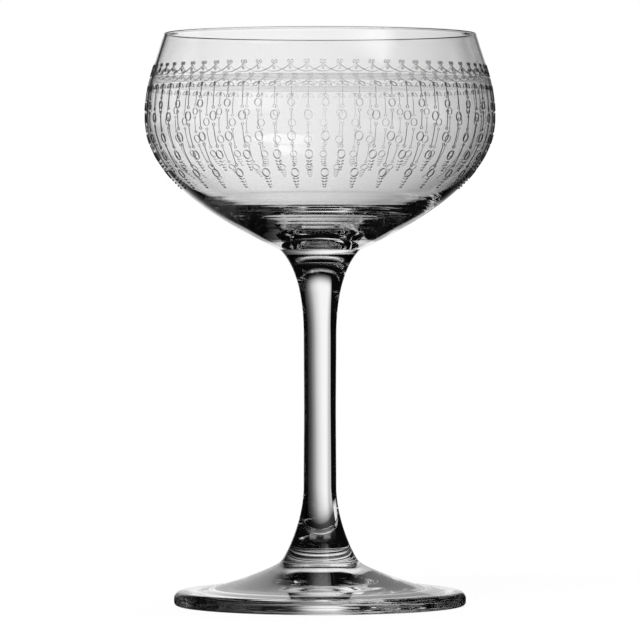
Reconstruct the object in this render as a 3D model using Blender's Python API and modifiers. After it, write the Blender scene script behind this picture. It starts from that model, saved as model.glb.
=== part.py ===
"""Champagne coupe: a blown bowl, a drawn stem and a foot, turned about +Z.

Metres, +Z up. The origin is at the middle of the foot's resting plane.
"""

import math

import bpy

# Overall sizes
HEIGHT = 0.1500  # resting plane to the top of the lip
RIM_RADIUS = 0.0410  # outside of the lip
BELLY_RADIUS = 0.0458  # widest part of the bowl
FOOT_RADIUS = 0.0383

# Bowl
BOWL_HEIGHT = 0.0567  # top of the lip to the seam with the stem
BELLY_DROP = 0.0223  # top of the lip to the widest part
LIP_THICKNESS = 0.00075  # fire-polished, a full round
WALL = 0.00065  # wall at the belly
BASE_THICKNESS = 0.00436  # glass in the middle of the bowl's bottom
BASE_STOPS = (  # (radius, wall) from near the axis out towards the belly
    (0.0050, 0.00405),
    (0.0106, 0.00400),
    (0.0140, 0.00379),
    (0.0175, 0.00332),
    (0.0210, 0.00305),
    (0.0240, 0.00279),
    (0.0265, 0.00252),
    (0.0290, 0.00183),
    (0.0330, 0.00137),
    (0.0370, 0.00103),
    (0.0410, 0.00067),
)
RIM_LEAN = 0.30  # how far the wall opens for each unit of drop below the lip
UPPER_PULL = 0.0089  # length of the upper curve's handles
LOWER_PULL = 0.0132  # length of the lower curve's handle at the belly
UNDERSIDE_PULL = 0.0217  # run of the lower curve's handle at the seam
UNDERSIDE_SLOPE = 0.456  # rise for each unit of run where the bowl meets the stem
SEAM_RADIUS = 0.0106  # where the stem's flare meets the bowl's underside

# Stem
STEM_RADIUS = 0.0042  # half way up, at its slimmest
NECK_RADIUS = 0.0043  # where each flare starts
UPPER_FLARE = 0.0227  # length of the flare under the bowl
UPPER_FLARE_PULL = 0.0160  # length of that flare's handle at the neck
UPPER_FLARE_HANDLE = 0.0016  # run and drop of its handle at the bowl
LOWER_FLARE = 0.0196  # length of the flare above the foot
LOWER_FLARE_PULL = 0.0085  # length of that flare's handle at the neck

# Foot
FOOT_HEIGHT = 0.0116  # resting plane to the seam with the stem
FOOT_SEAM_RADIUS = 0.01019
FOOT_SEAM_SLOPE = 1.216  # drop for each unit of run of the outline at the seam
FOOT_SEAM_PULL = 0.00173  # run of the outline's handles at the seam
FOOT_EDGE = 0.0038  # thickness at the edge
EDGE_ROUND = 0.0020  # rounding of the upper edge
HEEL_ROUND = 0.0010  # rounding of the lower edge
FOOT_SLOPE = 0.13  # rise for each unit of run on the foot's upper side
FOOT_BLEND_RADIUS = 0.02765  # where the straight slope turns up to the stem
FOOT_BLEND_PULL = 0.0030  # run of the outline's handle there
REST_RING_WIDTH = 0.0050  # flat ring that the coupe stands on
KICK_STOPS = (  # hollow under the foot: (share of its radius, height) from the axis outwards
    (0.0, 0.00360),
    (0.124, 0.00350),
    (0.248, 0.00310),
    (0.372, 0.00290),
    (0.495, 0.00270),
    (0.619, 0.00200),
    (0.743, 0.00145),
    (0.867, 0.00110),
    (1.0, 0.0),
)

# Fits and finish
SEAM_GAP = 0.0003  # between two fused pieces
SEGMENTS = 48
CURVE_STEPS = 9
UNDERSIDE_STEPS = 13
SEAT_STEPS = 5
MERGE_DISTANCE = 0.00001

# Levels that follow from the sizes above
SEAM_HEIGHT = HEIGHT - BOWL_HEIGHT
BELLY_HEIGHT = HEIGHT - BELLY_DROP
UPPER_NECK_HEIGHT = SEAM_HEIGHT - UPPER_FLARE
LOWER_NECK_HEIGHT = FOOT_HEIGHT + LOWER_FLARE
SLIM_HEIGHT = (UPPER_NECK_HEIGHT + LOWER_NECK_HEIGHT) / 2


def bezier(start, start_handle, end_handle, end, steps=CURVE_STEPS):
    """Points along a cubic curve in the (radius, height) plane, both ends included."""
    points = []
    for i in range(steps + 1):
        t = i / steps
        weights = ((1 - t) ** 3, 3 * t * (1 - t) ** 2, 3 * t * t * (1 - t), t**3)
        corners = (start, start_handle, end_handle, end)
        radius = sum(w * c[0] for w, c in zip(weights, corners))
        height = sum(w * c[1] for w, c in zip(weights, corners))
        points.append((radius, height))
    return points


def arc(centre, radius, first_angle, last_angle, steps):
    """Points along an arc in the (radius, height) plane, both ends included."""
    points = []
    for i in range(steps + 1):
        angle = math.radians(first_angle + (last_angle - first_angle) * i / steps)
        points.append((centre[0] + radius * math.cos(angle), centre[1] + radius * math.sin(angle)))
    return points


def chain(*runs):
    """One outline from runs of points, with a shared end written once."""
    outline = []
    for run in runs:
        for point in run:
            if not outline or math.dist(point, outline[-1]) > MERGE_DISTANCE:
                outline.append(point)
    return outline


def seat_height(radius):
    """Height of the bowl's rounded bottom inside the seam: a parabola tangent to the underside."""
    return SEAM_HEIGHT - UNDERSIDE_SLOPE * (SEAM_RADIUS**2 - radius**2) / (2 * SEAM_RADIUS)


def seat_run(drop):
    """The seat from the seam in to the axis, lowered by drop."""
    radii = [SEAM_RADIUS * (1 - i / SEAT_STEPS) for i in range(SEAT_STEPS + 1)]
    return [(radius, seat_height(radius) - drop) for radius in radii]


def bowl_outside():
    """The bowl's outer side from just under the lip to the seam."""
    lip_round = LIP_THICKNESS / 2
    top = (RIM_RADIUS, HEIGHT - lip_round)
    belly = (BELLY_RADIUS, BELLY_HEIGHT)
    seam = (SEAM_RADIUS, SEAM_HEIGHT)
    upper = bezier(
        top,
        (top[0] + RIM_LEAN * UPPER_PULL, top[1] - UPPER_PULL),
        (BELLY_RADIUS, BELLY_HEIGHT + UPPER_PULL),
        belly,
    )
    lower = bezier(
        belly,
        (BELLY_RADIUS, BELLY_HEIGHT - LOWER_PULL),
        (SEAM_RADIUS + UNDERSIDE_PULL, SEAM_HEIGHT + UNDERSIDE_SLOPE * UNDERSIDE_PULL),
        seam,
        steps=UNDERSIDE_STEPS,
    )
    return chain(upper, lower)


def wall_at(point):
    """Wall thickness: even above, following the stops below the belly."""
    radius, height = point
    if height >= BELLY_HEIGHT:
        up = (height - BELLY_HEIGHT) / (HEIGHT - BELLY_HEIGHT)
        return WALL + (LIP_THICKNESS - WALL) * min(up, 1)
    stops = ((0.0, BASE_THICKNESS), *BASE_STOPS, (BELLY_RADIUS, WALL))
    for (inner, thick), (outer, thin) in zip(stops, stops[1:]):
        if radius <= outer:
            share = (radius - inner) / (outer - inner)
            return thick + (thin - thick) * share
    return WALL


def offset_inward(outline):
    """The outline moved into the bowl by the wall, square to itself."""
    moved = []
    for i, point in enumerate(outline):
        before = outline[max(i - 1, 0)]
        after = outline[min(i + 1, len(outline) - 1)]
        run = (after[0] - before[0], after[1] - before[1])
        length = math.hypot(*run)
        wall = wall_at(point)
        radius = point[0] + run[1] / length * wall
        height = point[1] - run[0] / length * wall
        moved.append((radius, height))
    return moved


def bowl_profile():
    outside = bowl_outside()
    bottom = seat_run(0)
    inside = offset_inward(chain(outside, bottom))
    floor = (0.0, seat_height(0) + BASE_THICKNESS)
    lip_round = LIP_THICKNESS / 2
    lip_start = (RIM_RADIUS - LIP_THICKNESS, HEIGHT - lip_round)
    inside = [lip_start] + [p for p in inside if p[0] > WALL and p[1] < lip_start[1] - lip_round]
    lip = arc((RIM_RADIUS - lip_round, HEIGHT - lip_round), lip_round, 180, 0, steps=4)
    return chain([floor], inside[::-1], lip, outside, bottom)


def stem_profile():
    top_edge = (SEAM_RADIUS, seat_height(SEAM_RADIUS) - SEAM_GAP)
    upper_neck = (NECK_RADIUS, UPPER_NECK_HEIGHT)
    slim = (STEM_RADIUS, SLIM_HEIGHT)
    lower_neck = (NECK_RADIUS, LOWER_NECK_HEIGHT)
    end_edge = (FOOT_SEAM_RADIUS, FOOT_HEIGHT + SEAM_GAP)
    upper_flare = bezier(
        top_edge,
        (top_edge[0] - UPPER_FLARE_HANDLE, top_edge[1] - UPPER_FLARE_HANDLE),
        (NECK_RADIUS, UPPER_NECK_HEIGHT + UPPER_FLARE_PULL),
        upper_neck,
    )
    lower_flare = bezier(
        lower_neck,
        (NECK_RADIUS, LOWER_NECK_HEIGHT - LOWER_FLARE_PULL),
        (end_edge[0] - FOOT_SEAM_PULL, end_edge[1] + FOOT_SEAM_PULL * FOOT_SEAM_SLOPE),
        end_edge,
    )
    seat = seat_run(SEAM_GAP)[::-1]
    end = (0.0, end_edge[1])
    return chain(seat, upper_flare, [slim], lower_flare, [end])


def foot_profile():
    seat = (FOOT_SEAM_RADIUS, FOOT_HEIGHT)
    edge_top = (FOOT_RADIUS - EDGE_ROUND, FOOT_EDGE)
    blend = (FOOT_BLEND_RADIUS, FOOT_EDGE + FOOT_SLOPE * (edge_top[0] - FOOT_BLEND_RADIUS))
    rise = bezier(
        seat,
        (seat[0] + FOOT_SEAM_PULL, seat[1] - FOOT_SEAM_PULL * FOOT_SEAM_SLOPE),
        (blend[0] - FOOT_BLEND_PULL, blend[1] + FOOT_SLOPE * FOOT_BLEND_PULL),
        blend,
    )
    upper_edge = arc((edge_top[0], FOOT_EDGE - EDGE_ROUND), EDGE_ROUND, 90, 0, steps=4)
    heel = arc((FOOT_RADIUS - HEEL_ROUND, HEEL_ROUND), HEEL_ROUND, 0, -90, steps=3)
    ring_inside = FOOT_RADIUS - HEEL_ROUND - REST_RING_WIDTH
    kick = [(ring_inside * share, height) for share, height in reversed(KICK_STOPS)]
    return chain([(0.0, FOOT_HEIGHT)], rise, upper_edge, heel, kick)


def clear_glass(name):
    material = bpy.data.materials.new(name)
    material.use_nodes = True
    shader = material.node_tree.nodes["Principled BSDF"]
    shader.inputs["Base Color"].default_value = (0.94, 0.95, 0.95, 1.0)
    shader.inputs["Metallic"].default_value = 0.0
    shader.inputs["Roughness"].default_value = 0.03
    shader.inputs["IOR"].default_value = 1.52
    shader.inputs["Transmission Weight"].default_value = 1.0
    return material


def turned(name, profile, collection):
    """One sub-part: its profile in the XZ plane, swept about Z by a Screw modifier."""
    mesh = bpy.data.meshes.new(name)
    points = [(radius, 0.0, height) for radius, height in profile]
    edges = [(i, i + 1) for i in range(len(points) - 1)]
    mesh.from_pydata(points, edges, [])
    piece = bpy.data.objects.new(name, mesh)
    collection.objects.link(piece)
    screw = piece.modifiers.new("turn", "SCREW")
    screw.axis = "Z"
    screw.steps = SEGMENTS
    screw.render_steps = SEGMENTS
    screw.use_merge_vertices = True
    screw.merge_threshold = MERGE_DISTANCE
    screw.use_smooth_shade = True
    mesh.materials.append(clear_glass(name + "_glass"))
    return piece


def main():
    for old in list(bpy.data.objects):
        bpy.data.objects.remove(old, do_unlink=True)
    collection = bpy.data.collections.new("champagne_coupe")
    bpy.context.scene.collection.children.link(collection)
    stand = bpy.data.objects.new("coupe", None)
    collection.objects.link(stand)
    pieces = (("bowl", bowl_profile()), ("stem", stem_profile()), ("foot", foot_profile()))
    for name, profile in pieces:
        turned(name, profile, collection).parent = stand


main()
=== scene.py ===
import bisect
import math

import bpy
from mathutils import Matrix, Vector


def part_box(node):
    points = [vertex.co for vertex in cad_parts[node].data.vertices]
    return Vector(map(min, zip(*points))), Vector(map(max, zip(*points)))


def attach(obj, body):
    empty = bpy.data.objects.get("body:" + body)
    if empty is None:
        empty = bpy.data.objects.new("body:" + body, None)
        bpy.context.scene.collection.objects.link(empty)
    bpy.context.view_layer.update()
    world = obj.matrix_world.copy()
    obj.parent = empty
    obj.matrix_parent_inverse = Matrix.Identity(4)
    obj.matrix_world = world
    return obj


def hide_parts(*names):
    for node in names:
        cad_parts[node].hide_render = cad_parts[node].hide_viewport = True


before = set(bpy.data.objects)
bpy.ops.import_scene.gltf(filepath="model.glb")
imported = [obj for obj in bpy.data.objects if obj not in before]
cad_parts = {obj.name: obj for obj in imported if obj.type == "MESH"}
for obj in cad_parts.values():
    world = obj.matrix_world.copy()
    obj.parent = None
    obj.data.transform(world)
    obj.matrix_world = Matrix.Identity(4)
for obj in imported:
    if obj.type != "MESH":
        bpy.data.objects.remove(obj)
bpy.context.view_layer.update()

mm = 0.001
print("frame loaded:", ", ".join(sorted(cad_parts)))

# what the frame fixes: heights and widths of the three fused pieces
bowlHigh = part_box("bowl")[1]
stemLow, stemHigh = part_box("stem")
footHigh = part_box("foot")[1]
seamGap = stemLow.z - footHigh.z  # the solids keep this apart at each fused seam
rimHeight = bowlHigh.z
bellyRadius = bowlHigh.x
seamRadius = stemHigh.x
seamHeight = stemHigh.z + seamGap
footHeight = footHigh.z
footRadius = footHigh.x


# runs of points in the (radius, height) plane
onePoint = 0.002 * mm  # nearer than this, two points of a run are one
seamSteps = 6  # across the flat seam between stem and foot


def bezierRun(start, startHandle, endHandle, end, steps):
    run = []
    for i in range(steps + 1):
        t = i / steps
        weights = ((1 - t) ** 3, 3 * t * (1 - t) ** 2, 3 * t * t * (1 - t), t ** 3)
        corners = (start, startHandle, endHandle, end)
        run.append(tuple(sum(w * c[axis] for w, c in zip(weights, corners)) for axis in (0, 1)))
    return run


def arcRun(centre, radius, firstAngle, lastAngle, steps):
    run = []
    for i in range(steps + 1):
        angle = math.radians(firstAngle + (lastAngle - firstAngle) * i / steps)
        run.append((centre[0] + radius * math.cos(angle), centre[1] + radius * math.sin(angle)))
    return run


def lineRun(start, end, steps):
    return [tuple(a + (b - a) * i / steps for a, b in zip(start, end)) for i in range(steps + 1)]


def joinRuns(*runs):
    outline = []
    for run in runs:
        for point in run:
            if not outline or math.dist(point, outline[-1]) > onePoint:
                outline.append(point)
    return outline


# bowl
bowlShape = {
    "rimRadius": 41.0 * mm,
    "bellyDrop": 22.3 * mm,  # top of the lip to the widest part
    "lip": 0.75 * mm,  # fire-polished
    "lipCrest": 0.3,  # share of the lip inside its highest line
    "wall": 0.65 * mm,  # down to the widest part
    # below that the wall grows towards the axis: (radius, thickness) in mm
    "thickness": (
        (0, 4.36), (5, 4.05), (10.6, 4), (14, 3.79), (17.5, 3.32), (21, 3.05), (24, 2.79),
        (26.5, 2.52), (29, 1.83), (33, 1.37), (37, 1.08), (41, 0.84), (45.8, 0.65),
    ),
    # faint rings left by turning, on the inside between these radii
    "ripple": {"depth": 0.005 * mm, "pitches": (1.7 * mm, 1.05 * mm), "reach": (21 * mm, 35 * mm)},
    "rimLean": 0.30,
    "upperPull": 8.9 * mm,
    "lowerPull": 13.2 * mm,
    "undersidePull": 21.7 * mm,
    "undersideSlope": 0.456,
    "upperSteps": 48,
    "lowerSteps": 150,
    "seatSteps": 16,
    "lipSteps": (6, 12),  # inside and outside its crest
}
bellyHeight = rimHeight - bowlShape["bellyDrop"]


def bowlOutside():
    s = bowlShape
    top = (s["rimRadius"], rimHeight - s["lip"] * (1 - s["lipCrest"]))
    belly = (bellyRadius, bellyHeight)
    seam = (seamRadius, seamHeight)
    upper = bezierRun(
        top,
        (top[0] + s["rimLean"] * s["upperPull"], top[1] - s["upperPull"]),
        (bellyRadius, bellyHeight + s["upperPull"]),
        belly,
        s["upperSteps"],
    )
    lower = bezierRun(
        belly,
        (bellyRadius, bellyHeight - s["lowerPull"]),
        (seamRadius + s["undersidePull"], seamHeight + s["undersideSlope"] * s["undersidePull"]),
        seam,
        s["lowerSteps"],
    )
    return joinRuns(upper, lower)


def seatRun():
    # rounded bottom of the bowl inside the seam, tangent to the underside
    slope, steps = bowlShape["undersideSlope"], bowlShape["seatSteps"]
    radii = [seamRadius * (1 - i / steps) for i in range(steps + 1)]
    return [(r, seamHeight - slope * (seamRadius ** 2 - r ** 2) / (2 * seamRadius)) for r in radii]


def smoothAt(stops, place):
    # a smooth curve through rising or falling stops, flat at the first and without overshoot
    places, levels = zip(*stops)
    slopes = [(b - a) / (d - c) for a, b, c, d in zip(levels, levels[1:], places, places[1:])]
    bends = [0.0]
    for before, after in zip(slopes, slopes[1:]):
        bends.append(2 * before * after / (before + after) if before * after > 0 else 0.0)
    bends.append(slopes[-1])
    i = min(max(bisect.bisect(places, place) - 1, 0), len(slopes) - 1)
    width = places[i + 1] - places[i]
    t = min(max((place - places[i]) / width, 0), 1)
    level = levels[i] * (1 + 2 * t) * (1 - t) ** 2 + levels[i + 1] * t * t * (3 - 2 * t)
    return level + width * (bends[i] * t * (1 - t) ** 2 - bends[i + 1] * t * t * (1 - t))


def wallAt(radius, height):
    s = bowlShape
    if height >= bellyHeight:
        up = min((height - bellyHeight) / (rimHeight - bellyHeight), 1)
        return s["wall"] + (s["lip"] - s["wall"]) * up
    low, high = s["ripple"]["reach"]
    ripple = 0.0
    if low < radius < high:
        fade = math.sin(math.pi * (radius - low) / (high - low))
        waves = sum(math.sin(2 * math.pi * radius / pitch) for pitch in s["ripple"]["pitches"])
        ripple = s["ripple"]["depth"] * fade * waves
    return smoothAt(s["thickness"], radius / mm) * mm + ripple


def bowlInside(outline):
    # the outline moved in by the wall, square to itself
    moved = []
    for i, (radius, height) in enumerate(outline):
        before = outline[max(i - 1, 0)]
        after = outline[min(i + 1, len(outline) - 1)]
        run = (after[0] - before[0], after[1] - before[1])
        length = math.hypot(*run)
        wall = wallAt(radius, height)
        moved.append((radius + run[1] / length * wall, height - run[0] / length * wall))
    return moved


def bowlProfile():
    s = bowlShape
    outside = bowlOutside()
    seat = seatRun()
    inRound, outRound = s["lip"] * s["lipCrest"], s["lip"] * (1 - s["lipCrest"])
    # without the points that crowd the axis or reach into the lip
    nearAxis, lipFoot = s["wall"] / 4, rimHeight - outRound
    inside = [p for p in bowlInside(joinRuns(outside, seat)) if p[0] > nearAxis and p[1] < lipFoot]
    floor = (0.0, seat[-1][1] + s["thickness"][0][1] * mm)
    crest = s["rimRadius"] - outRound
    inSteps, outSteps = s["lipSteps"]
    lip = joinRuns(
        arcRun((crest, rimHeight - inRound), inRound, 180, 90, inSteps),
        arcRun((crest, lipFoot), outRound, 90, 0, outSteps),
    )
    return joinRuns([floor], inside[::-1], lip, outside), seat


# stem
stemShape = {
    "slimRadius": 4.2 * mm,  # half way up
    "neckRadius": 4.3 * mm,  # where each flare starts
    "upperFlare": 22.7 * mm,
    "upperPull": 16.0 * mm,
    "bowlHandle": 1.6 * mm,
    "lowerFlare": 19.6 * mm,
    "lowerPull": 8.5 * mm,
    "waistPull": 6.0 * mm,
    "footSeamRadius": 10.19 * mm,
    "footSeamSlope": 1.216,
    "footSeamPull": 1.73 * mm,
    "flareSteps": 40,
    "waistSteps": 10,
}


def stemProfile():
    s = stemShape
    top = (seamRadius, seamHeight)
    upperNeck = (s["neckRadius"], seamHeight - s["upperFlare"])
    lowerNeck = (s["neckRadius"], footHeight + s["lowerFlare"])
    slim = (s["slimRadius"], (upperNeck[1] + lowerNeck[1]) / 2)
    end = (s["footSeamRadius"], footHeight)
    upperFlare = bezierRun(
        top,
        (top[0] - s["bowlHandle"], top[1] - s["bowlHandle"]),
        (upperNeck[0], upperNeck[1] + s["upperPull"]),
        upperNeck,
        s["flareSteps"],
    )
    pull = s["waistPull"]
    waist = [
        bezierRun(a, (a[0], a[1] - pull), (b[0], b[1] + pull), b, s["waistSteps"])
        for a, b in ((upperNeck, slim), (slim, lowerNeck))
    ]
    lowerFlare = bezierRun(
        lowerNeck,
        (lowerNeck[0], lowerNeck[1] - s["lowerPull"]),
        (end[0] - s["footSeamPull"], end[1] + s["footSeamPull"] * s["footSeamSlope"]),
        end,
        s["flareSteps"],
    )
    side = joinRuns(upperFlare, *waist, lowerFlare)
    return seatRun()[::-1], side, lineRun(end, (0.0, footHeight), seamSteps)


# foot
footShape = {
    "edge": 3.8 * mm,  # thickness at the edge
    "edgeRound": 2.0 * mm,
    "heelRound": 1.0 * mm,
    "slope": 0.13,
    "blendRadius": 27.65 * mm,  # where the straight slope turns up to the stem
    "blendPull": 3.0 * mm,
    "restRing": 5.0 * mm,
    # hollow underneath: (share of its radius, height in mm)
    "kick": (
        (0, 3.6), (0.124, 3.5), (0.248, 3.1), (0.372, 2.9), (0.495, 2.7), (0.619, 2), (0.743, 1.45),
        (0.867, 1.1), (1, 0),
    ),
    "kickSteps": 48,
    "riseSteps": 40,
    "slopeSteps": 12,
    "edgeSteps": 14,
    "heelSteps": 10,
}


def footProfile():
    s = footShape
    seam = (stemShape["footSeamRadius"], footHeight)
    pull, slope = stemShape["footSeamPull"], stemShape["footSeamSlope"]
    edgeTop = (footRadius - s["edgeRound"], s["edge"])
    blend = (s["blendRadius"], s["edge"] + s["slope"] * (edgeTop[0] - s["blendRadius"]))
    rise = bezierRun(
        seam,
        (seam[0] + pull, seam[1] - pull * slope),
        (blend[0] - s["blendPull"], blend[1] + s["slope"] * s["blendPull"]),
        blend,
        s["riseSteps"],
    )
    slopeRun = lineRun(blend, edgeTop, s["slopeSteps"])
    edgeRound, heelRound = s["edgeRound"], s["heelRound"]
    upperEdge = arcRun((edgeTop[0], s["edge"] - edgeRound), edgeRound, 90, 0, s["edgeSteps"])
    heel = arcRun((footRadius - heelRound, heelRound), heelRound, 0, -90, s["heelSteps"])
    ringInside = footRadius - heelRound - s["restRing"]
    shares = [1 - i / s["kickSteps"] for i in range(s["kickSteps"] + 1)]
    kick = [(ringInside * share, smoothAt(s["kick"], share) * mm) for share in shares]
    return lineRun((0.0, footHeight), seam, seamSteps), joinRuns(rise, slopeRun, upperEdge, heel, kick)


# glass
glassLook = {
    "tint": (1.0, 1.0, 1.0, 1.0),
    "ior": 1.52,
    "roughness": 0.0,
    "waves": 0.012,  # strength of the blown unevenness
    "waveDepth": 1 * mm,
    "waveScale": 55.0,
    "shadowTint": (0.86, 0.87, 0.87, 1.0),
}


def newMaterial(name):
    material = bpy.data.materials.new(name)
    material.use_nodes = True
    nodes = material.node_tree.nodes
    nodes.clear()
    return material, nodes, material.node_tree.links


def clearGlass():
    material, nodes, links = newMaterial("clear_glass")
    look = glassLook
    shader = nodes.new("ShaderNodeBsdfPrincipled")
    shader.inputs["Base Color"].default_value = look["tint"]
    shader.inputs["Roughness"].default_value = look["roughness"]
    shader.inputs["IOR"].default_value = look["ior"]
    shader.inputs["Transmission Weight"].default_value = 1.0
    place = nodes.new("ShaderNodeTexCoord")
    waves = nodes.new("ShaderNodeTexNoise")
    waves.inputs["Scale"].default_value = look["waveScale"]
    waves.inputs["Detail"].default_value = 1.0
    bump = nodes.new("ShaderNodeBump")
    bump.inputs["Strength"].default_value = look["waves"]
    bump.inputs["Distance"].default_value = look["waveDepth"]
    links.new(place.outputs["Object"], waves.inputs["Vector"])
    links.new(waves.outputs["Fac"], bump.inputs["Height"])
    links.new(bump.outputs["Normal"], shader.inputs["Normal"])
    # lamps reach what stands behind the glass
    path = nodes.new("ShaderNodeLightPath")
    passing = nodes.new("ShaderNodeBsdfTransparent")
    passing.inputs["Color"].default_value = look["shadowTint"]
    mix = nodes.new("ShaderNodeMixShader")
    out = nodes.new("ShaderNodeOutputMaterial")
    links.new(path.outputs["Is Shadow Ray"], mix.inputs["Fac"])
    links.new(shader.outputs["BSDF"], mix.inputs[1])
    links.new(passing.outputs["BSDF"], mix.inputs[2])
    links.new(mix.outputs["Shader"], out.inputs["Surface"])
    return material


def fusedSeam():
    # inside a fused seam there is no surface to see
    material, nodes, links = newMaterial("fused_seam")
    passing = nodes.new("ShaderNodeBsdfTransparent")
    passing.inputs["Color"].default_value = (1.0, 1.0, 1.0, 1.0)
    out = nodes.new("ShaderNodeOutputMaterial")
    links.new(passing.outputs["BSDF"], out.inputs["Surface"])
    return material


def newPiece(name, verts, faces, materials, marks=None):
    # marks: for each face, which of the materials it has
    mesh = bpy.data.meshes.new(name)
    mesh.from_pydata(verts, [], faces)
    for material in materials:
        mesh.materials.append(material)
    if marks:
        mesh.polygons.foreach_set("material_index", marks)
    mesh.update()
    piece = bpy.data.objects.new(name, mesh)
    bpy.context.scene.collection.objects.link(piece)
    return piece


turning = {"segments": 224, "onAxis": 1e-6}  # a ring smaller than onAxis is a single point
glassMaterials = (clearGlass(), fusedSeam())
inAir, inSeam = 0, 1  # their places


def turnedGlass(name, node, runs):
    # runs: (outline, where it lies), one after the other from the axis back to the axis
    count = turning["segments"]
    points, marks = [], []
    for run, mark in runs:
        for point in run:
            if points and math.dist(point, points[-1]) < onePoint:
                continue
            if points:
                marks.append(mark)
            points.append(point)
    verts, rings = [], []
    for radius, height in points:
        if radius < turning["onAxis"]:
            rings.append([len(verts)] * count)
            verts.append((0.0, 0.0, height))
            continue
        rings.append(list(range(len(verts), len(verts) + count)))
        for k in range(count):
            angle = 2 * math.pi * k / count
            verts.append((radius * math.cos(angle), radius * math.sin(angle), height))
    faces, faceMarks = [], []
    for lower, upper, mark in zip(rings[:-1], rings[1:], marks):
        for k in range(count):
            nextK = (k + 1) % count
            corners = [lower[k], upper[k], upper[nextK], lower[nextK]]
            faces.append(list(dict.fromkeys(corners)))
            faceMarks.append(mark)
    piece = newPiece(name, verts, faces, glassMaterials, faceMarks)
    piece.data.polygons.foreach_set("use_smooth", [True] * len(faces))
    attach(piece, "root")
    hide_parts(node)
    print(name, "turned:", len(faces), "faces")


bowlWall, bowlSeat = bowlProfile()
stemSeat, stemSide, stemEnd = stemProfile()
footSeat, footSide = footProfile()
turnedGlass("bowl_glass", "bowl", ((bowlWall, inAir), (bowlSeat, inSeam)))
turnedGlass("stem_glass", "stem", ((stemSeat, inSeam), (stemSide, inAir), (stemEnd, inSeam)))
turnedGlass("foot_glass", "foot", ((footSeat, inSeam), (footSide, inAir)))


# etched border, on the outside of the bowl
borderShape = {
    "pairs": 33,  # a long and a short drop in each
    "start": math.radians(1.76),  # a long drop, from the front towards the right
    "bellTurn": math.radians(-0.7),  # bells stand this much beside the drops
    # widths of the strokes
    "bellLine": 0.14 * mm,
    "leafLine": 0.15 * mm,
    "dropLine": 0.14 * mm,
    "ovalLine": 0.2 * mm,
    "dotLine": 0.14 * mm,
    "tickLine": 0.18 * mm,
    "fineLine": 0.12 * mm,
    "lift": 1.25,  # how far a stroke stands proud of the glass, against its width
    "sink": 0.01 * mm,  # and how far it reaches into it
    # from the front, the border passes over to its far side between these angles
    "turnOff": (math.radians(70), math.radians(120)),
    "backTurn": math.radians(-3.0),  # the far side is turned by this
    "backThin": 0.25,  # and cut this much finer
    "fineHeights": (137.85 * mm, 137.5 * mm, 137.15 * mm, 136.8 * mm, 136.45 * mm),
    "bell": {
        "foot": 139.0 * mm,
        "sag": 138.45 * mm,
        "sagBend": 2.5,
        "cross": 140.5 * mm,
        # a leg's handles: share of the half width, with the height above the foot or below the crossing
        "legPulls": ((0.55, 0.25 * mm), (0.2, 0.5 * mm)),
        "curl": (0.45 * mm, 141.05 * mm),
    },
    "curlSize": (0.3 * mm, 0.42 * mm),
    "bead": (0.27 * mm, 139.45 * mm, 0.36 * mm),  # half width, height, half height
    "leafRoot": (0.15 * mm, 135.75 * mm),
    "leafTip": (1.6 * mm, 134.85 * mm),
    "leafWidth": 0.42 * mm,
    "leafSkew": 0.8,  # below 1 a leaf is widest nearer its root
    "bud": (0.2 * mm, 135.85 * mm, 0.28 * mm),
    "dot": (0.36 * mm, 0.38 * mm),  # half width and half height of the small rings
    "tickRise": 0.15 * mm,  # half the height of the small chevrons
    "tickGap": 0.12 * mm,  # half the gap between their arms
    # points along each kind of stroke
    "steps": {
        "leg": 6, "curl": 9, "hem": 10, "bead": 8, "leaf": 7, "bud": 8, "line": 8, "dot": 10, "oval": 20,
        "fineLine": 264,
    },
}
# heights down each drop in mm: lines as (top, bottom), small rings, ovals as (height, half height,
# half width) and chevrons as (height, half width)
dropShapes = {
    "long": {
        "lines": ((135.6, 132.8), (128.2, 124.75), (119.75, 115.35)),
        "dots": (132.35, 128.65, 124.3, 120.2, 114.9),
        "ovals": ((130.6, 1.0, 0.85), (122.15, 1.15, 1.0), (112.95, 1.0, 0.95)),
        "ticks": ((111.45, 0.75), (110.7, 0.7), (109.95, 0.5), (109.35, 0.34)),
    },
    "short": {
        "lines": ((135.6, 130.05), (124.75, 120.1)),
        "dots": (129.6, 125.2, 119.65),
        "ovals": ((127.4, 1.15, 0.97), (117.55, 1.05, 0.95)),
        "ticks": ((115.8, 0.75), (115.0, 0.7), (114.3, 0.5), (113.65, 0.34)),
    },
}
outsideRun = sorted((height, radius) for radius, height in bowlOutside())


def outsideAt(height):
    # radius of the bowl's outside and its change with height
    i = min(max(bisect.bisect(outsideRun, (height, 0.0)), 1), len(outsideRun) - 1)
    (lowHeight, lowRadius), (highHeight, highRadius) = outsideRun[i - 1], outsideRun[i]
    slope = (highRadius - lowRadius) / (highHeight - lowHeight)
    return lowRadius + slope * (height - lowHeight), slope


def onBowl(angle, across, height):
    # a place on the bowl, across from the line at this angle, with the way out of the glass
    radius, slope = outsideAt(height)
    turn = angle + across / radius
    outward = Vector((math.sin(turn), -math.cos(turn), -slope)).normalized()
    return Vector((radius * math.sin(turn), -radius * math.cos(turn), height)), outward


def backShare(angle):
    # 0 on the near side of the border, 1 on its far side
    near, far = borderShape["turnOff"]
    share = (abs(math.remainder(angle, 2 * math.pi)) - near) / (far - near)
    share = min(max(share, 0.0), 1.0)
    return share * share * (3 - 2 * share)


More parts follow.
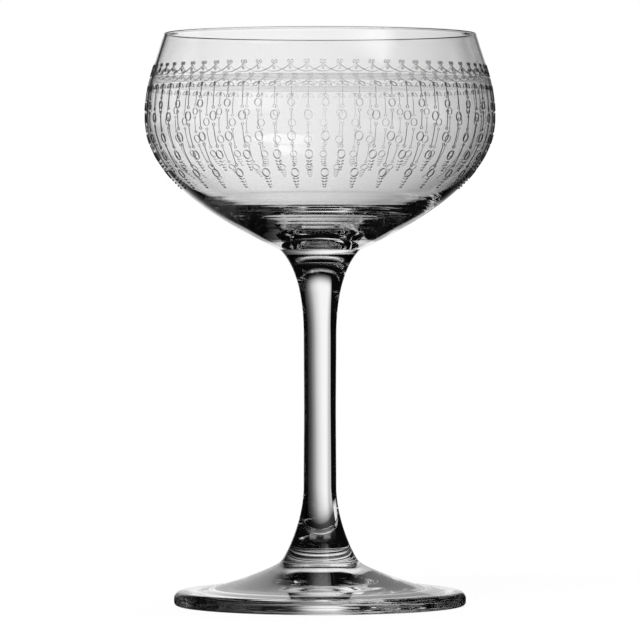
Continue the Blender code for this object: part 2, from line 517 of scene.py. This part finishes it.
class Etching:
    # gathers strokes that follow the bowl, as square bands
    def __init__(self):
        self.verts, self.faces, self.marks = [], [], []

    def stroke(self, angle, points, width, closed=False):
        b = borderShape
        half = width / 2 * (1 - b["backThin"] * backShare(angle))
        lift = b["lift"] * half * 2
        places = [onBowl(angle, across, height) for across, height in points]
        count, first = len(places), len(self.verts)
        for i, (place, outward) in enumerate(places):
            before = places[i - 1 if closed or i else 0][0]
            after = places[(i + 1) % count if closed else min(i + 1, count - 1)][0]
            side = outward.cross(after - before).normalized() * half
            for sideways, out in ((side, lift), (-side, lift), (-side, -b["sink"]), (side, -b["sink"])):
                self.verts.append(tuple(place + sideways + outward * out))
        for i in range(count if closed else count - 1):
            here, there = first + 4 * i, first + 4 * ((i + 1) % count)
            across = Vector(self.verts[here]) - Vector(self.verts[here + 1])
            turned = places[i][1].cross(across).z < 0  # then the stroke's first wall is its right-hand one
            marks = (0, 1, 2, 3) if turned else (0, 3, 2, 1)  # top, right, underside, left
            for k in range(4):
                n = (k + 1) % 4
                self.faces.append((here + k, here + n, there + n, there + k))
                self.marks.append(marks[k])
        if not closed:
            last = first + 4 * (count - 1)
            self.faces.append((first + 3, first + 2, first + 1, first))
            self.faces.append((last, last + 1, last + 2, last + 3))
            self.marks += [1, 1]

    def piece(self, name, materials):
        piece = newPiece(name, self.verts, self.faces, materials, self.marks)
        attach(piece, "root")
        print(name, "etched:", len(self.faces), "faces")


def ringPoints(across, height, halfWidth, halfHeight, steps):
    turns = [2 * math.pi * i / steps for i in range(steps)]
    return [(across + halfWidth * math.cos(t), height + halfHeight * math.sin(t)) for t in turns]


def leafPoints(root, tip, halfWidth, steps):
    # two bowed sides between the root and the tip
    run = (tip[0] - root[0], tip[1] - root[1])
    length = math.hypot(*run)
    side = (-run[1] / length, run[0] / length)
    there, back = [], []
    for i in range(steps + 1):
        share = i / steps
        bulge = halfWidth * math.sin(math.pi * share ** borderShape["leafSkew"])
        for points, out in ((there, bulge), (back, -bulge)):
            place = (root[0] + run[0] * share + side[0] * out, root[1] + run[1] * share + side[1] * out)
            points.append(place)
    return there + back[-2:0:-1]


# the etched pattern is real; its dark grey top film and near-black walls are painted shade, the dark that
# frosted lines show against the dark studio around them
etchedPaintedShadeLook = {
    "top": {"colour": (0.13, 0.13, 0.13), "alpha": 0.18},
    # painted shade heavier on one side of each stroke: left-hand walls opaque, right-hand walls partly clear
    "rightSidesHalfShade": {"colour": (0.06, 0.06, 0.06), "alpha": 0.6},
    "leftSidesFullShade": {"colour": (0.06, 0.06, 0.06), "alpha": 1.0},
    "roughness": 0.6,
    "specular": 0.1,
    "grain": 2600.0,  # fine specks of the etching
    "grainShare": 0.25,
}


# one part of a stroke, coloured dark grey as painted shade, with fine random specks of the etching
def etchedPaintedShade(name, part):
    material, nodes, links = newMaterial(name)
    look = etchedPaintedShadeLook
    shader = nodes.new("ShaderNodeBsdfPrincipled")
    shader.inputs["Roughness"].default_value = look["roughness"]
    shader.inputs["Specular IOR Level"].default_value = look["specular"]
    shader.inputs["Alpha"].default_value = look[part]["alpha"]
    place = nodes.new("ShaderNodeTexCoord")
    grain = nodes.new("ShaderNodeTexNoise")
    grain.inputs["Scale"].default_value = look["grain"]
    tones = nodes.new("ShaderNodeMix")
    tones.data_type = "RGBA"
    for socket, share in (("A", 1 - look["grainShare"]), ("B", 1 + look["grainShare"])):
        tones.inputs[socket].default_value = tuple(c * share for c in look[part]["colour"]) + (1,)
    out = nodes.new("ShaderNodeOutputMaterial")
    links.new(place.outputs["Object"], grain.inputs["Vector"])
    links.new(grain.outputs["Fac"], tones.inputs["Factor"])
    links.new(tones.outputs["Result"], shader.inputs["Base Color"])
    links.new(shader.outputs["BSDF"], out.inputs["Surface"])
    return material


def etchBells(etching, angle):
    b, bell, steps = borderShape, borderShape["bell"], borderShape["steps"]
    half = math.pi * outsideAt(bell["foot"])[0] / (2 * b["pairs"])
    (footShare, footRise), (crossShare, crossDrop) = bell["legPulls"]
    for hand in (-1, 1):
        leg = bezierRun(
            (hand * half, bell["foot"]),
            (hand * half * footShare, bell["foot"] + footRise),
            (hand * half * crossShare, bell["cross"] - crossDrop),
            (0.0, bell["cross"]),
            steps["leg"],
        )
        etching.stroke(angle, leg, b["bellLine"])
        curl = ringPoints(hand * bell["curl"][0], bell["curl"][1], *b["curlSize"], steps["curl"])
        etching.stroke(angle, curl, b["bellLine"], closed=True)
    hem = []
    for i in range(steps["hem"] + 1):
        share = 2 * i / steps["hem"] - 1
        rise = (bell["foot"] - bell["sag"]) * abs(share) ** bell["sagBend"]
        hem.append((half * share, bell["sag"] + rise))
    etching.stroke(angle, hem, b["bellLine"])
    width, height, halfHeight = b["bead"]
    bead = ringPoints(0.0, height, width, halfHeight, steps["bead"])
    etching.stroke(angle, bead, b["bellLine"], closed=True)


def etchSprig(etching, angle):
    b = borderShape
    for hand in (-1, 1):
        root = (hand * b["leafRoot"][0], b["leafRoot"][1])
        tip = (hand * b["leafTip"][0], b["leafTip"][1])
        leaf = leafPoints(root, tip, b["leafWidth"], b["steps"]["leaf"])
        etching.stroke(angle, leaf, b["leafLine"], closed=True)
    width, height, halfHeight = b["bud"]
    bud = ringPoints(0.0, height, width, halfHeight, b["steps"]["bud"])
    etching.stroke(angle, bud, b["leafLine"], closed=True)


def etchDrop(etching, angle, shape):
    b, steps = borderShape, borderShape["steps"]
    for top, bottom in shape["lines"]:
        line = lineRun((0.0, top * mm), (0.0, bottom * mm), steps["line"])
        etching.stroke(angle, line, b["dropLine"])
    for height in shape["dots"]:
        dot = ringPoints(0.0, height * mm, *b["dot"], steps["dot"])
        etching.stroke(angle, dot, b["dotLine"], closed=True)
    for height, halfHeight, halfWidth in shape["ovals"]:
        oval = ringPoints(0.0, height * mm, halfWidth * mm, halfHeight * mm, steps["oval"])
        etching.stroke(angle, oval, b["ovalLine"], closed=True)
    for height, reach in shape["ticks"]:
        for hand in (-1, 1):
            inner = (hand * b["tickGap"], height * mm - b["tickRise"])
            outer = (hand * reach * mm, height * mm + b["tickRise"])
            etching.stroke(angle, [inner, outer], b["tickLine"])


def etchBorder():
    b = borderShape
    bells, lines, sprigs, drops = (Etching() for _ in range(4))
    units = 2 * b["pairs"]
    for unit in range(units):
        angle = b["start"] + 2 * math.pi * unit / units
        angle += b["backTurn"] * backShare(angle)
        etchBells(bells, angle + b["bellTurn"])
        etchSprig(sprigs, angle)
        etchDrop(drops, angle, dropShapes["short" if unit % 2 else "long"])
    for height in b["fineHeights"]:
        around = 2 * math.pi * outsideAt(height)[0]
        count = b["steps"]["fineLine"]
        ring = [(around * i / count, height) for i in range(count)]
        lines.stroke(0.0, ring, b["fineLine"], closed=True)
    # the stroke materials carry painted shade, darker on the left-hand walls than on the right-hand ones
    materials = (
        etchedPaintedShade("etched_glass", "top"),
        etchedPaintedShade("etched_right_sides_painted_half_shade", "rightSidesHalfShade"),
        glassMaterials[inSeam],  # underside
        etchedPaintedShade("etched_left_sides_painted_shade", "leftSidesFullShade"),
    )
    for name, etching in (("bells", bells), ("lines", lines), ("sprigs", sprigs), ("drops", drops)):
        etching.piece("etched_" + name, materials)


etchBorder()


# camera at the photograph's place: level with the bowl's bottom, looking slightly down
cameraPlace = {"distance": 1324.4 * mm, "height": 92.0 * mm, "aim": 74.8 * mm, "lens": 284.06, "sensor": 36.0}


def placeCamera():
    data = bpy.data.cameras.new("camera")
    data.sensor_width = cameraPlace["sensor"]
    data.lens = cameraPlace["lens"]
    camera = bpy.data.objects.new("camera", data)
    camera.location = (0.0, -cameraPlace["distance"], cameraPlace["height"])
    toAim = Vector((0.0, 0.0, cameraPlace["aim"])) - camera.location
    camera.rotation_euler = toAim.to_track_quat("-Z", "Y").to_euler()
    bpy.context.scene.collection.objects.link(camera)
    bpy.context.scene.camera = camera
    print("camera placed")


placeCamera()

# studio
# a lit panel stands behind the glass, brightest left of the middle; levels are (place in mm, level) stops
panelLook = {
    "distance": 250 * mm,
    "reach": (215 * mm, -150 * mm, 240 * mm),  # right end, bottom, top; its left end follows leftEdge
    # each curve: how far it leans to the right for each unit upward, then its stops
    "leftEdge": (0.29, ((-163, 0), (-149, 1))),
    "leftShade": (0.0, ((-160, 0.68), (-130, 0.62), (-110, 0.6), (-98, 0.7), (-82, 0.92), (-70, 1))),
    "rightShade": (
        0.28,
        (
            (-53, 1), (-33, 0.95), (-13, 0.84), (7, 0.71), (27, 0.54), (47, 0.33), (67, 0.22), (87, 0.12),
            (107, 0.08), (127, 0.05), (167, 0.02), (200, 0),
        ),
    ),
    "upward": (
        (-140, 0.02), (-110, 0.05), (-86, 0.08), (-78, 0.3), (-70, 0.44), (-58, 0.68), (-42, 0.88),
        (-20, 0.95), (0, 0.98), (50, 1), (158, 1), (168, 0.9), (180, 0.66), (192, 0.4), (204, 0.18),
        (218, 0.05), (230, 0),
    ),
    # on the glass, instead of through it, the panel ends above a dark table
    "upwardMirrored": (
        (-40, 0), (-25, 0.015), (-12, 0.04), (0, 0.1), (9, 0.15), (18, 0.24), (24, 0.32), (35, 0.49),
        (45, 0.65), (60, 0.93), (70, 1), (158, 1), (168, 0.9), (180, 0.66), (192, 0.4), (204, 0.18),
        (218, 0.05), (230, 0),
    ),
    # both ends of the table stay bright, seen on the foot's two ends
    "endsMirrored": {
        "outward": ((18, 0), (34, 1), (70, 1), (85, 0)),
        "upward": ((-10, 0), (-3, 0.88), (58, 0.88), (66, 0)),
    },
}
# cards that show on the glass: one along the left side, one in front of the panel's right end
sideCards = {
    "left_card": {
        "axis": "Y",
        "place": -110 * mm,
        "across": ((-14, 0), (-4, 0.85), (65, 0.9), (80, 0.85), (96, 0.55), (117, 0.35), (139, 0)),
        "upward": ((116, 0), (124, 1), (185, 1), (192, 0)),
    },
    "right_card": {
        "axis": "X",
        "place": 200 * mm,
        "across": ((112, 0), (122, 0.42), (134, 0.4), (150, 0.25), (170, 0.1), (200, 0.03), (240, 0)),
        "upward": ((100, 0), (125, 1), (380, 1), (430, 0)),
    },
    # lies above the mouth, for the soft glow inside the bowl; its upward stops run from front to back
    "bowl_card": {
        "axis": "X",
        "flat": True,
        "place": 200 * mm,
        "across": ((5, 0), (22, 3.2), (78, 3.2), (95, 0)),
        "upward": ((-110, 0), (-95, 1), (-40, 1), (-25, 0)),
    },
}
# the rest of the studio: each light area is a level across (azimuth from straight behind, right is plus)
# times a level upward, in degrees
studioLight = {
    "room": 0.003,
    "areas": {
        "softbox": {
            "across": ((138, 0), (144, 2), (150, 2), (158, 1), (172, 0.6), (178, 0)),
            "upward": ((40, 0), (44, 1), (56, 1), (61, 0)),
        },
        # what stands behind the glass when it is seen from its other sides, and shows only through it
        "left_wall": {
            "across": ((-108, 0), (-101, 0.9), (-93, 1), (-87, 0.9), (-82, 0)),
            "upward": ((-13, 0), (-8, 0.9), (-3, 1), (3, 0.9), (8, 0)),
            "through": True,
        },
        "left_table": {
            "across": ((-66, 0), (-58, 0.9), (-45, 1), (-39, 0.9), (-34, 0)),
            "upward": ((-44, 0), (-36, 0.8), (-28, 1), (-18, 1), (-13, 0)),
            "through": True,
        },
        "front_wall": {
            "across": ((119, 0), (125, 0.9), (135, 1), (148, 0.8), (155, 0)),
            "upward": ((-28, 0), (-23, 0.8), (-15, 1), (-9, 0.9), (-5, 0)),
            "through": True,
        },
    },
}


def levelCurve(nodes, links, along, stops):
    # brightness along a line in mm or an angle in degrees, from (place, level) stops
    low, high = stops[0][0], stops[-1][0]
    reach = nodes.new("ShaderNodeMapRange")
    reach.inputs["From Min"].default_value = low
    reach.inputs["From Max"].default_value = high
    curve = nodes.new("ShaderNodeValToRGB")
    elements = curve.color_ramp.elements
    while len(elements) < len(stops):
        elements.new(0.5)
    for element, (place, level) in zip(elements, stops):
        element.position = (place - low) / (high - low)
        element.color = (level, level, level, 1)
    links.new(along, reach.inputs["Value"])
    links.new(reach.outputs["Result"], curve.inputs["Fac"])
    return curve.outputs["Color"]


def mathNode(nodes, links, operation, *values):
    node = nodes.new("ShaderNodeMath")
    node.operation = operation
    for socket, value in zip(node.inputs, values):
        if isinstance(value, (int, float)):
            socket.default_value = value
        else:
            links.new(value, socket)
    return node.outputs["Value"]


def setWorld():
    world = bpy.data.worlds.new("studio")
    bpy.context.scene.world = world
    world.use_nodes = True
    nodes, links = world.node_tree.nodes, world.node_tree.links
    nodes.clear()
    place = nodes.new("ShaderNodeTexCoord")
    split = nodes.new("ShaderNodeSeparateXYZ")
    links.new(place.outputs["Generated"], split.inputs["Vector"])
    turn = mathNode(nodes, links, "ARCTAN2", split.outputs["X"], split.outputs["Y"])
    rise = mathNode(nodes, links, "ARCSINE", split.outputs["Z"])
    turn = mathNode(nodes, links, "DEGREES", turn)
    rise = mathNode(nodes, links, "DEGREES", rise)
    path = nodes.new("ShaderNodeLightPath")
    level = studioLight["room"]
    for area in studioLight["areas"].values():
        across = levelCurve(nodes, links, turn, area["across"])
        upward = levelCurve(nodes, links, rise, area["upward"])
        light = mathNode(nodes, links, "MULTIPLY", across, upward)
        if area.get("through"):
            light = mathNode(nodes, links, "MULTIPLY", light, path.outputs["Is Transmission Ray"])
        level = mathNode(nodes, links, "MAXIMUM", light, level)
    room = nodes.new("ShaderNodeBackground")
    white = nodes.new("ShaderNodeBackground")
    for light in (room, white):
        light.inputs["Color"].default_value = (1, 1, 1, 1)
    white.inputs["Strength"].default_value = 1.0
    mix = nodes.new("ShaderNodeMixShader")
    out = nodes.new("ShaderNodeOutputWorld")
    links.new(level, room.inputs["Strength"])
    links.new(path.outputs["Is Camera Ray"], mix.inputs["Fac"])
    links.new(room.outputs["Background"], mix.inputs[1])
    links.new(white.outputs["Background"], mix.inputs[2])
    links.new(mix.outputs["Shader"], out.inputs["Surface"])
    print("room lit:", ", ".join(studioLight["areas"]))


def litMaterial(name, acrossAxis, upwardStops, acrossCurves, ends=None, upwardAxis="Z"):
    # light that varies over a panel; each curve is a lean and its stops, ends are alike left and right
    material, nodes, links = newMaterial(name)
    place = nodes.new("ShaderNodeNewGeometry")
    split = nodes.new("ShaderNodeSeparateXYZ")
    links.new(place.outputs["Position"], split.inputs["Vector"])
    across = mathNode(nodes, links, "DIVIDE", split.outputs[acrossAxis], mm)
    upward = mathNode(nodes, links, "DIVIDE", split.outputs[upwardAxis], mm)
    level = levelCurve(nodes, links, upward, upwardStops)
    for lean, stops in acrossCurves:
        shift = mathNode(nodes, links, "MULTIPLY", upward, lean)
        leaning = mathNode(nodes, links, "SUBTRACT", across, shift)
        level = mathNode(nodes, links, "MULTIPLY", levelCurve(nodes, links, leaning, stops), level)
    if ends:
        outward = mathNode(nodes, links, "ABSOLUTE", across)
        outward = levelCurve(nodes, links, outward, ends["outward"])
        endUpward = levelCurve(nodes, links, upward, ends["upward"])
        endLevel = mathNode(nodes, links, "MULTIPLY", outward, endUpward)
        level = mathNode(nodes, links, "MAXIMUM", level, endLevel)
    light = nodes.new("ShaderNodeEmission")
    out = nodes.new("ShaderNodeOutputMaterial")
    links.new(level, light.inputs["Strength"])
    links.new(light.outputs["Emission"], out.inputs["Surface"])
    return material


def standPanel(name, corners, material, mirrored=False):
    panel = newPiece(name, corners, [(0, 1, 2, 3)], [material])
    panel.visible_camera = False  # only the glass shows it
    panel.visible_diffuse = False
    panel.visible_shadow = False
    panel.visible_glossy = mirrored  # a mirrored one shows on the glass, another through it
    panel.visible_transmission = not mirrored
    print(name, "stands")


def makePanels():
    look = panelLook
    curves = (look["leftEdge"], look["leftShade"], look["rightShade"])
    # the left end leans as its dark edge does
    right, low, high = look["reach"]
    lean, stops = look["leftEdge"]
    left = stops[0][0] * mm
    corners = [(left + lean * low, low), (right, low), (right, high), (left + lean * high, high)]
    corners = [(x, look["distance"], z) for x, z in corners]
    standPanel("lit_panel", corners, litMaterial("lit_panel", "X", look["upward"], curves))
    mirrored = litMaterial("mirrored_panel", "X", look["upwardMirrored"], curves, look["endsMirrored"])
    standPanel("mirrored_panel", corners, mirrored, mirrored=True)
    for name, card in sideCards.items():
        near, far = card["across"][0][0] * mm, card["across"][-1][0] * mm
        low, high = card["upward"][0][0] * mm, card["upward"][-1][0] * mm
        corners = [(near, low), (far, low), (far, high), (near, high)]
        upwardAxis = "Z"
        if card["axis"] == "Y":
            corners = [(card["place"], across, z) for across, z in corners]
        elif card.get("flat"):
            corners = [(across, y, card["place"]) for across, y in corners]
            upwardAxis = "Y"
        else:
            corners = [(across, card["place"], z) for across, z in corners]
        upright = ((0.0, card["across"]),)  # no lean
        material = litMaterial(name, card["axis"], card["upward"], upright, upwardAxis=upwardAxis)
        standPanel(name, corners, material, mirrored=True)


floorLook = {
    "reach": 6.0,
    "colour": (0.92, 0.92, 0.92, 1.0),
    "shadowRadius": 60 * mm,  # inside this the floor shows the shadow most
    "shadowWhite": 0.75,  # share of even white there
    "whiteRadius": 260 * mm,  # beyond this it is even white
}


def makeFloor():
    f = floorLook
    material, nodes, links = newMaterial("pale_floor")
    place = nodes.new("ShaderNodeNewGeometry")
    size = nodes.new("ShaderNodeVectorMath")
    size.operation = "LENGTH"
    fade = nodes.new("ShaderNodeMapRange")
    fade.interpolation_type = "SMOOTHSTEP"
    fade.inputs["From Min"].default_value = f["shadowRadius"]
    fade.inputs["From Max"].default_value = f["whiteRadius"]
    fade.inputs["To Min"].default_value = f["shadowWhite"]
    matt = nodes.new("ShaderNodeBsdfDiffuse")
    matt.inputs["Color"].default_value = f["colour"]
    white = nodes.new("ShaderNodeEmission")
    path = nodes.new("ShaderNodeLightPath")
    mix = nodes.new("ShaderNodeMixShader")
    out = nodes.new("ShaderNodeOutputMaterial")
    links.new(place.outputs["Position"], size.inputs[0])
    links.new(size.outputs["Value"], fade.inputs["Value"])
    links.new(fade.outputs["Result"], mix.inputs["Fac"])
    links.new(path.outputs["Is Camera Ray"], white.inputs["Strength"])
    links.new(matt.outputs["BSDF"], mix.inputs[1])
    links.new(white.outputs["Emission"], mix.inputs[2])
    links.new(mix.outputs["Shader"], out.inputs["Surface"])
    r = f["reach"]
    corners = [(-r, -r, 0.0), (r, -r, 0.0), (r, r, 0.0), (-r, r, 0.0)]
    floor = newPiece("floor", corners, [(0, 1, 2, 3)], [material])
    floor.visible_glossy = False  # the glass shows the studio's own light and dark areas instead
    floor.visible_transmission = False
    print("floor laid")


lampAim = 0.07  # the height that the lamps point at
lampSet = {
    "key": {"place": (-0.35, -0.75, 1.05), "size": (0.9, 0.6), "power": 11.0},
    "top": {"place": (0.1, 0.2, 1.3), "size": (1.2, 1.2), "power": 16.0},
}


def makeLamps():
    for name, lamp in lampSet.items():
        data = bpy.data.lights.new(name, "AREA")
        data.shape = "RECTANGLE"
        data.size, data.size_y = lamp["size"]
        data.energy = lamp["power"]
        piece = bpy.data.objects.new(name, data)
        piece.location = lamp["place"]
        toObject = Vector((0.0, 0.0, lampAim)) - piece.location
        piece.rotation_euler = toObject.to_track_quat("-Z", "Y").to_euler()
        piece.visible_glossy = False
        piece.visible_transmission = False
        bpy.context.scene.collection.objects.link(piece)
        print(name, "lamp hung")


setWorld()
makePanels()
makeFloor()
makeLamps()

scene = bpy.context.scene
scene.view_settings.view_transform = "Standard"
scene.cycles.max_bounces = 32
scene.cycles.transmission_bounces = 32
scene.cycles.glossy_bounces = 24
scene.cycles.transparent_max_bounces = 32
print("all pieces in place")
